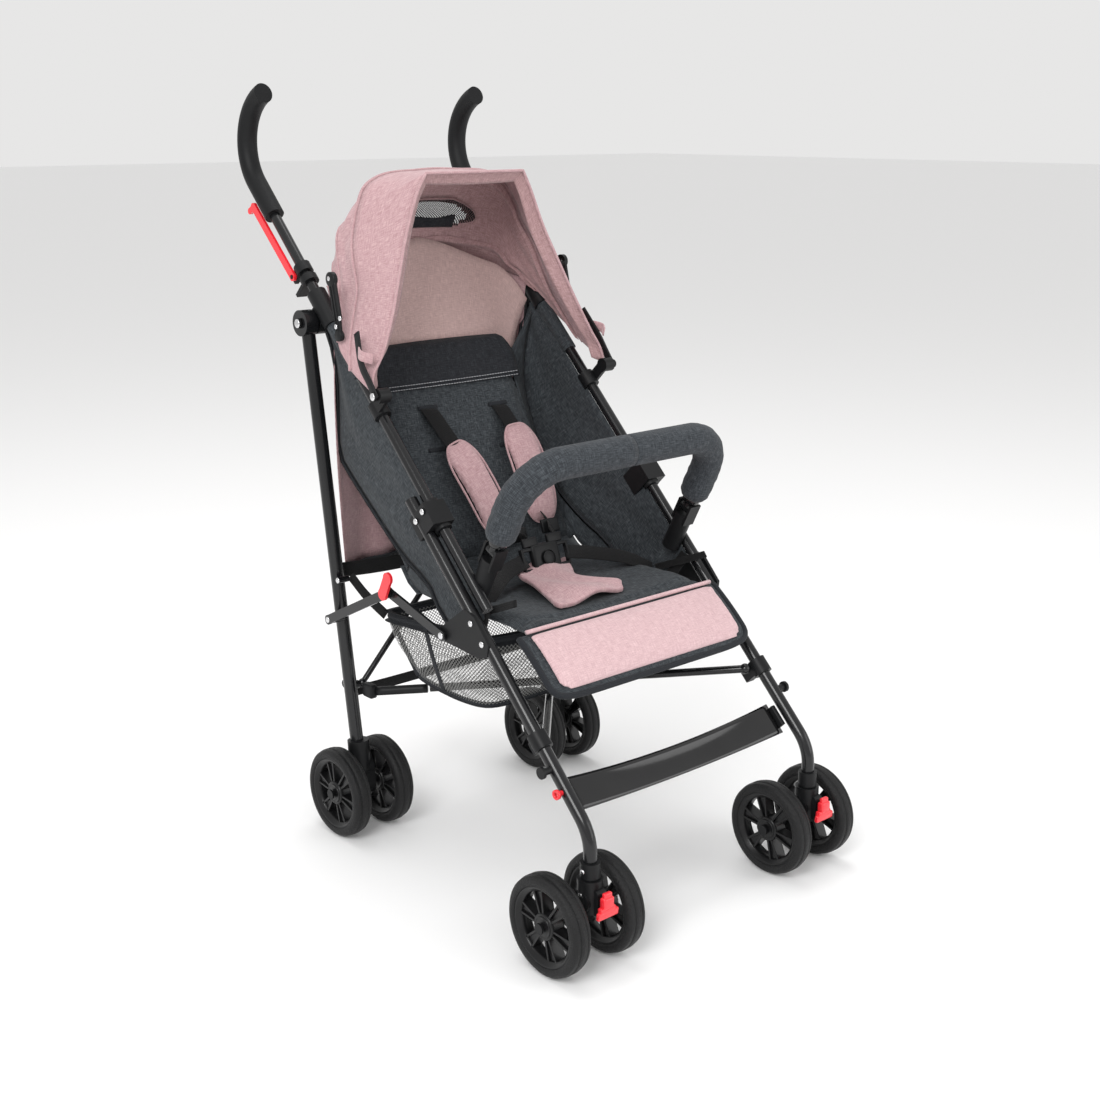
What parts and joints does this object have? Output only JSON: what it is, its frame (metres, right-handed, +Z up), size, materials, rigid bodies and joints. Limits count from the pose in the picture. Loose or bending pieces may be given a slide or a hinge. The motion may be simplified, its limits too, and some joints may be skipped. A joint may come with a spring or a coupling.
{
  "type": "baby stroller",
  "caption": "Umbrella-fold baby stroller with hooked handles, canopy, padded seat, bumper bar, basket and twin wheels.",
  "frame": {"origin": "on the floor, under the middle of the whole stroller standing open", "axes": "+Z up, -Y towards the front of the stroller, +X towards the seated child's left"},
  "size_m": [0.5264, 0.7949, 1.0506],
  "materials": {
    "tyre": "rubber tyre on a moulded rim",
    "frame_black": "gloss powder coat",
    "grip_foam": "smooth soft foam",
    "bumper_foam": "melange cloth over foam",
    "plastic_black": "satin moulded plastic",
    "red_plastic": "gloss",
    "fabric_pink": "fine woven polyester",
    "fabric_pale_pink": "fine woven polyester",
    "fabric_charcoal": "melange woven polyester",
    "webbing_black": "ribbed webbing",
    "mesh_grey": "open mesh",
    "gloss_black": "gloss"
  },
  "bodies": {
    "seat": {"seat_cushion": "fabric_charcoal", "crotch_pad": "fabric_pink", "harness_straps": "webbing_black", "buckle": "plastic_black", "canopy_rear": "fabric_pink", "canopy_braces": "plastic_black", "basket": "mesh_grey", "footrest": "gloss_black"},
    "buckle_button": {"buckle_button": "plastic_black"},
    "backrest": {"backrest_cushion": "fabric_charcoal", "shoulder_pads": "fabric_pink"},
    "leg_rest": {"leg_rest": "fabric_pale_pink"},
    "canopy_front": {"canopy_front": "fabric_pink", "canopy_front_bow": "plastic_black"},
    "carry_latch": {"carry_latch": "red_plastic"},
    "lock_lever": {"lock_lever": "red_plastic"},
    "right_side": {"right_handle_tube": "frame_black", "right_handle_grip": "grip_foam", "right_front_leg": "frame_black", "right_top_joint": "plastic_black", "right_tube_fittings": "plastic_black", "right_leg_fittings": "plastic_black", "right_side_panel": "fabric_charcoal"},
    "right_rear_leg": {"right_rear_leg": "frame_black", "right_rear_axle_housing": "plastic_black"},
    "right_caster": {"right_caster_fork": "plastic_black"},
    "right_swivel_lock": {"right_swivel_lock": "red_plastic"},
    "right_brake": {"right_brake_lever": "red_plastic"},
    "right_link_front": {"right_link_front": "frame_black"},
    "right_link_rear": {"right_link_rear": "frame_black"},
    "right_seat_cross": {"right_seat_cross": "frame_black"},
    "right_rear_cross": {"right_rear_cross": "frame_black"},
    "right_bumper": {"right_bumper_arm": "frame_black", "right_bumper_pad": "bumper_foam"},
    "right_front_outer_wheel": {"right_front_outer_wheel": "tyre"},
    "right_rear_outer_wheel": {"right_rear_outer_wheel": "tyre"},
    "right_front_inner_wheel": {"right_front_inner_wheel": "tyre"},
    "right_rear_inner_wheel": {"right_rear_inner_wheel": "tyre"},
    "left_side": {"left_handle_tube": "frame_black", "left_handle_grip": "grip_foam", "left_front_leg": "frame_black", "left_top_joint": "plastic_black", "left_tube_fittings": "plastic_black", "left_leg_fittings": "plastic_black", "left_side_panel": "fabric_charcoal"},
    "left_rear_leg": {"left_rear_leg": "frame_black", "left_rear_axle_housing": "plastic_black"},
    "left_caster": {"left_caster_fork": "plastic_black"},
    "left_swivel_lock": {"left_swivel_lock": "red_plastic"},
    "left_brake": {"left_brake_lever": "red_plastic"},
    "left_link_front": {"left_link_front": "frame_black"},
    "left_link_rear": {"left_link_rear": "frame_black"},
    "left_seat_cross": {"left_seat_cross": "frame_black"},
    "left_rear_cross": {"left_rear_cross": "frame_black"},
    "left_bumper": {"left_bumper_arm": "frame_black", "left_bumper_pad": "bumper_foam"},
    "left_front_outer_wheel": {"left_front_outer_wheel": "tyre"},
    "left_rear_outer_wheel": {"left_rear_outer_wheel": "tyre"},
    "left_front_inner_wheel": {"left_front_inner_wheel": "tyre"},
    "left_rear_inner_wheel": {"left_rear_inner_wheel": "tyre"}
  },
  "joints": [
    {"name": "recline", "type": "hinge", "parent": "seat", "child": "backrest", "pos_m": [0, 0.062, 0.388], "axis": [-1, 0, 0], "range_deg": [0, 8]},
    {"name": "leg_rest_tilt", "type": "hinge", "parent": "seat", "child": "leg_rest", "pos_m": [0, -0.2, 0.381], "axis": [1, 0, 0], "range_deg": [-41, 30]},
    {"name": "canopy_tilt", "type": "hinge", "parent": "seat", "child": "canopy_front", "pos_m": [0, 0.0495, 0.651], "axis": [-1, 0, 0], "range_deg": [0, 60]},
    {"name": "buckle_press", "type": "slide", "parent": "seat", "child": "buckle_button", "axis": [0, 0.9397, -0.342], "range_m": [0, 0.0028], "stiffness_N_per_m": 900},
    {"name": "right_side_slide", "type": "slide", "parent": "seat", "child": "right_side", "axis": [1, 0, 0], "range_m": [0, 0.105]},
    {"name": "fold", "type": "hinge", "parent": "right_side", "child": "right_rear_leg", "pos_m": [-0.205, 0.217, 0.731], "axis": [-1, 0, 0], "range_deg": [0, 33], "deforming": ["seat_cushion", "crotch_pad", "harness_straps", "canopy_rear", "canopy_braces", "basket", "footrest", "canopy_front", "canopy_front_bow", "leg_rest", "backrest_cushion", "shoulder_pads", "buckle", "right_side_panel", "left_side_panel"]},
    {"name": "right_caster_swivel", "type": "hinge", "parent": "right_side", "child": "right_caster", "pos_m": [-0.201, -0.357, 0.1], "axis": [0, 0, 1], "continuous": true},
    {"name": "right_swivel_lock_slide", "type": "slide", "parent": "right_caster", "child": "right_swivel_lock", "axis": [0, 0, 1], "range_m": [0, 0.008]},
    {"name": "right_brake_press", "type": "hinge", "parent": "right_rear_leg", "child": "right_brake", "pos_m": [-0.184, 0.182, 0.07], "axis": [-1, 0, 0], "range_deg": [0, 14]},
    {"name": "right_link_front_turn", "type": "hinge", "parent": "right_side", "child": "right_link_front", "pos_m": [-0.2135, -0.088, 0.359], "axis": [1, 0, 0], "range_deg": [0, 157.5]},
    {"name": "right_link_rear_turn", "type": "hinge", "parent": "right_link_front", "child": "right_link_rear", "pos_m": [-0.218, 0.026, 0.39], "axis": [-1, 0, 0], "range_deg": [0, 119.7]},
    {"name": "right_seat_cross_turn", "type": "hinge", "parent": "right_side", "child": "right_seat_cross", "pos_m": [-0.179, -0.25, 0.252], "axis": [0.7297, -0.6294, 0.2673], "range_deg": [0, 51.1]},
    {"name": "right_rear_cross_turn", "type": "hinge", "parent": "right_rear_leg", "child": "right_rear_cross", "pos_m": [-0.167, 0.166, 0.212], "axis": [0, -0.9953, 0.0969], "range_deg": [0, 28]},
    {"name": "right_bumper_turn", "type": "hinge", "parent": "right_side", "child": "right_bumper", "pos_m": [-0.174, -0.148, 0.477], "axis": [0, -0.891, -0.454], "range_deg": [0, 38.1], "deforming": ["right_bumper_pad"]},
    {"name": "right_front_outer_wheel_spin", "type": "hinge", "parent": "right_caster", "child": "right_front_outer_wheel", "pos_m": [-0.2455, -0.3335, 0.064], "axis": [1, 0, 0], "continuous": true},
    {"name": "right_rear_outer_wheel_spin", "type": "hinge", "parent": "right_rear_leg", "child": "right_rear_outer_wheel", "pos_m": [-0.2205, 0.1515, 0.064], "axis": [1, 0, 0], "continuous": true},
    {"name": "right_front_inner_wheel_spin", "type": "hinge", "parent": "right_caster", "child": "right_front_inner_wheel", "pos_m": [-0.1565, -0.3335, 0.064], "axis": [1, 0, 0], "continuous": true},
    {"name": "right_rear_inner_wheel_spin", "type": "hinge", "parent": "right_rear_leg", "child": "right_rear_inner_wheel", "pos_m": [-0.1475, 0.1515, 0.064], "axis": [1, 0, 0], "continuous": true},
    {"name": "left_side_slide", "type": "slide", "parent": "seat", "child": "left_side", "axis": [-1, 0, 0], "range_m": [0, 0.105]},
    {"name": "left_rear_leg_fold", "type": "hinge", "parent": "left_side", "child": "left_rear_leg", "pos_m": [0.205, 0.217, 0.731], "axis": [-1, 0, 0], "range_deg": [0, 33]},
    {"name": "left_caster_swivel", "type": "hinge", "parent": "left_side", "child": "left_caster", "pos_m": [0.201, -0.357, 0.1], "axis": [0, 0, 1], "continuous": true},
    {"name": "left_swivel_lock_slide", "type": "slide", "parent": "left_caster", "child": "left_swivel_lock", "axis": [0, 0, 1], "range_m": [0, 0.008]},
    {"name": "left_brake_press", "type": "hinge", "parent": "left_rear_leg", "child": "left_brake", "pos_m": [0.184, 0.182, 0.07], "axis": [-1, 0, 0], "range_deg": [0, 14]},
    {"name": "left_link_front_turn", "type": "hinge", "parent": "left_side", "child": "left_link_front", "pos_m": [0.2135, -0.088, 0.359], "axis": [1, 0, 0], "range_deg": [0, 157.5]},
    {"name": "left_link_rear_turn", "type": "hinge", "parent": "left_link_front", "child": "left_link_rear", "pos_m": [0.218, 0.026, 0.39], "axis": [-1, 0, 0], "range_deg": [0, 119.7]},
    {"name": "left_seat_cross_turn", "type": "hinge", "parent": "left_side", "child": "left_seat_cross", "pos_m": [0.179, -0.258, 0.266], "axis": [0.7297, 0.6294, -0.2673], "range_deg": [0, 51.1]},
    {"name": "left_rear_cross_turn", "type": "hinge", "parent": "left_rear_leg", "child": "left_rear_cross", "pos_m": [0.167, 0.179, 0.212], "axis": [0, 0.9953, -0.0969], "range_deg": [0, 28]},
    {"name": "left_bumper_turn", "type": "hinge", "parent": "left_side", "child": "left_bumper", "pos_m": [0.174, -0.148, 0.477], "axis": [0, 0.891, 0.454], "range_deg": [0, 38.1], "deforming": ["left_bumper_pad"]},
    {"name": "left_front_outer_wheel_spin", "type": "hinge", "parent": "left_caster", "child": "left_front_outer_wheel", "pos_m": [0.2455, -0.3335, 0.064], "axis": [1, 0, 0], "continuous": true},
    {"name": "left_rear_outer_wheel_spin", "type": "hinge", "parent": "left_rear_leg", "child": "left_rear_outer_wheel", "pos_m": [0.2205, 0.1515, 0.064], "axis": [1, 0, 0], "continuous": true},
    {"name": "left_front_inner_wheel_spin", "type": "hinge", "parent": "left_caster", "child": "left_front_inner_wheel", "pos_m": [0.1565, -0.3335, 0.064], "axis": [1, 0, 0], "continuous": true},
    {"name": "left_rear_inner_wheel_spin", "type": "hinge", "parent": "left_rear_leg", "child": "left_rear_inner_wheel", "pos_m": [0.1475, 0.1515, 0.064], "axis": [1, 0, 0], "continuous": true},
    {"name": "carry_latch_turn", "type": "hinge", "parent": "right_side", "child": "carry_latch", "pos_m": [-0.199, 0.258, 0.79], "axis": [-1, 0, 0], "range_deg": [0, 120]},
    {"name": "lock_lever_turn", "type": "hinge", "parent": "right_link_rear", "child": "lock_lever", "pos_m": [-0.2242, 0.026, 0.39], "axis": [1, 0, 0], "range_deg": [-15, 0], "stiffness_Nm_per_rad": 1}
  ],
  "couplings": [
    {"joint": "right_side_slide", "follows": "fold", "m_per_rad": 0.1823},
    {"joint": "right_link_front_turn", "follows": "fold", "ratio": 4.7697},
    {"joint": "right_link_rear_turn", "follows": "fold", "ratio": 3.6242},
    {"joint": "right_seat_cross_turn", "follows": "fold", "ratio": 1.5457},
    {"joint": "right_rear_cross_turn", "follows": "fold", "ratio": 0.84848},
    {"joint": "right_bumper_turn", "follows": "fold", "ratio": 1.1515},
    {"joint": "left_side_slide", "follows": "fold", "m_per_rad": 0.1823},
    {"joint": "left_link_front_turn", "follows": "fold", "ratio": 4.7697},
    {"joint": "left_link_rear_turn", "follows": "fold", "ratio": 3.6242},
    {"joint": "left_seat_cross_turn", "follows": "fold", "ratio": 1.5457},
    {"joint": "left_rear_cross_turn", "follows": "fold", "ratio": 0.84848},
    {"joint": "left_bumper_turn", "follows": "fold", "ratio": 1.1515},
    {"joint": "left_rear_leg_fold", "follows": "fold", "ratio": 1}
  ]
}
